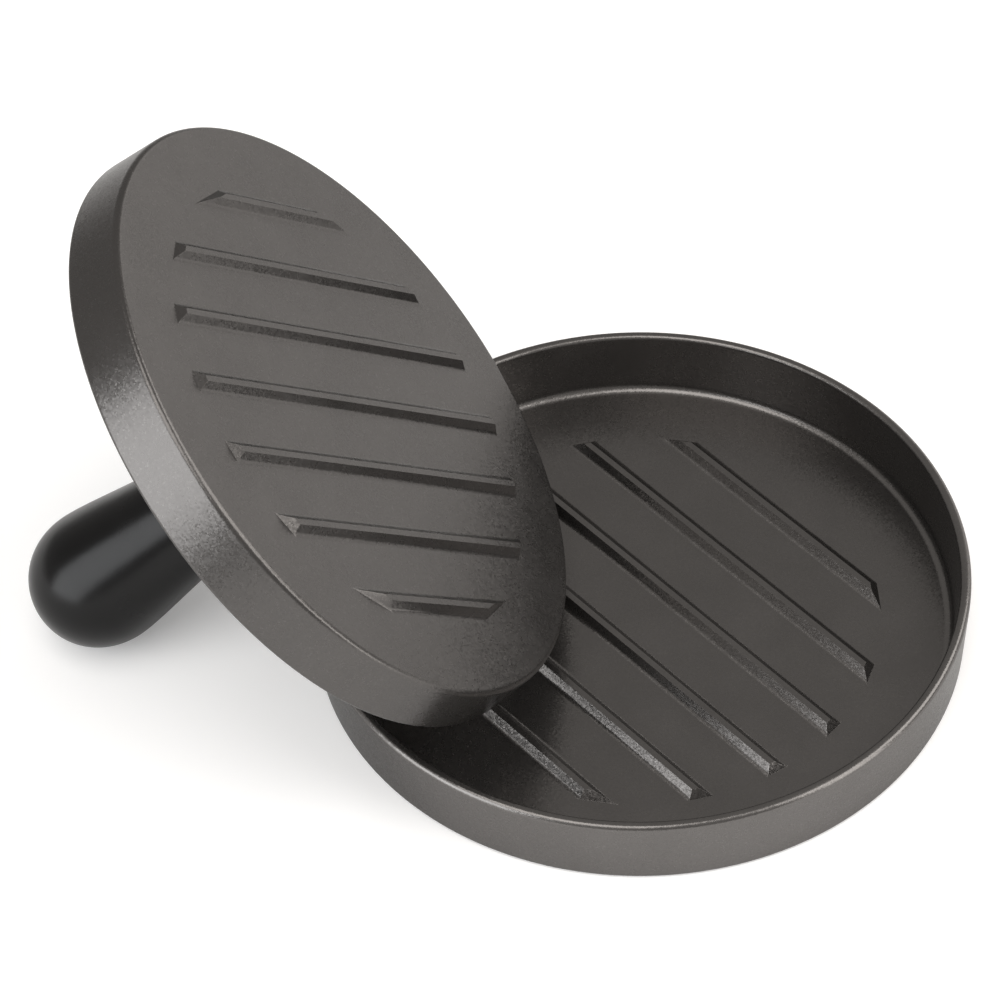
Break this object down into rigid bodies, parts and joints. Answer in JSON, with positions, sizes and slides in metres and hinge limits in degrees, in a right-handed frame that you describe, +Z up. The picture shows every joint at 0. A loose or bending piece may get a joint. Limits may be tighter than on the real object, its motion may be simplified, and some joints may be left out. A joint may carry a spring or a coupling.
{
  "type": "patty press",
  "caption": "Round non-stick patty press: a shallow dish with raised grill ribs, and a ribbed press plate with a screw-on black knob handle, standing tilted in the dish.",
  "frame": {"origin": "centre of the dish's flat underside, where it rests on the table", "axes": "+Z up along the dish's axis; the press leans back from +X, so its handle points down towards -X"},
  "size_m": [0.1708, 0.1261, 0.0972],
  "materials": {
    "dish_coating": "dark grey non-stick coating with a fine sparkle",
    "plate_coating": "dark grey non-stick coating with a fine sparkle",
    "grip_plastic": "satin black moulded plastic",
    "insert_brass": "machined, knurled",
    "stud_steel": "zinc plated",
    "washer_steel": "spring steel, zinc plated"
  },
  "bodies": {
    "dish": {"base_dish": "dish_coating"},
    "handle": {"handle_grip": "grip_plastic", "threaded_insert": "insert_brass", "threaded_stud": "stud_steel"},
    "washer": {"lock_washer": "washer_steel"},
    "plate": {"press_plate": "plate_coating"}
  },
  "joints": [
    {"name": "press_lift", "type": "slide", "parent": "dish", "child": "handle", "axis": [0, 0, 1], "range_m": [0, 0.08]},
    {"name": "plate_unscrew", "type": "hinge", "parent": "handle", "child": "washer", "pos_m": [-0.0496, 0.008, 0.0539], "axis": [0.7632, 0, 0.6461], "range_deg": [0, 2520]},
    {"name": "plate_travel", "type": "slide", "parent": "washer", "child": "plate", "axis": [0.7632, 0, 0.6461], "range_m": [0, 0.0088]}
  ],
  "couplings": [
    {"joint": "plate_travel", "follows": "plate_unscrew", "m_per_rad": 0.00019894}
  ]
}
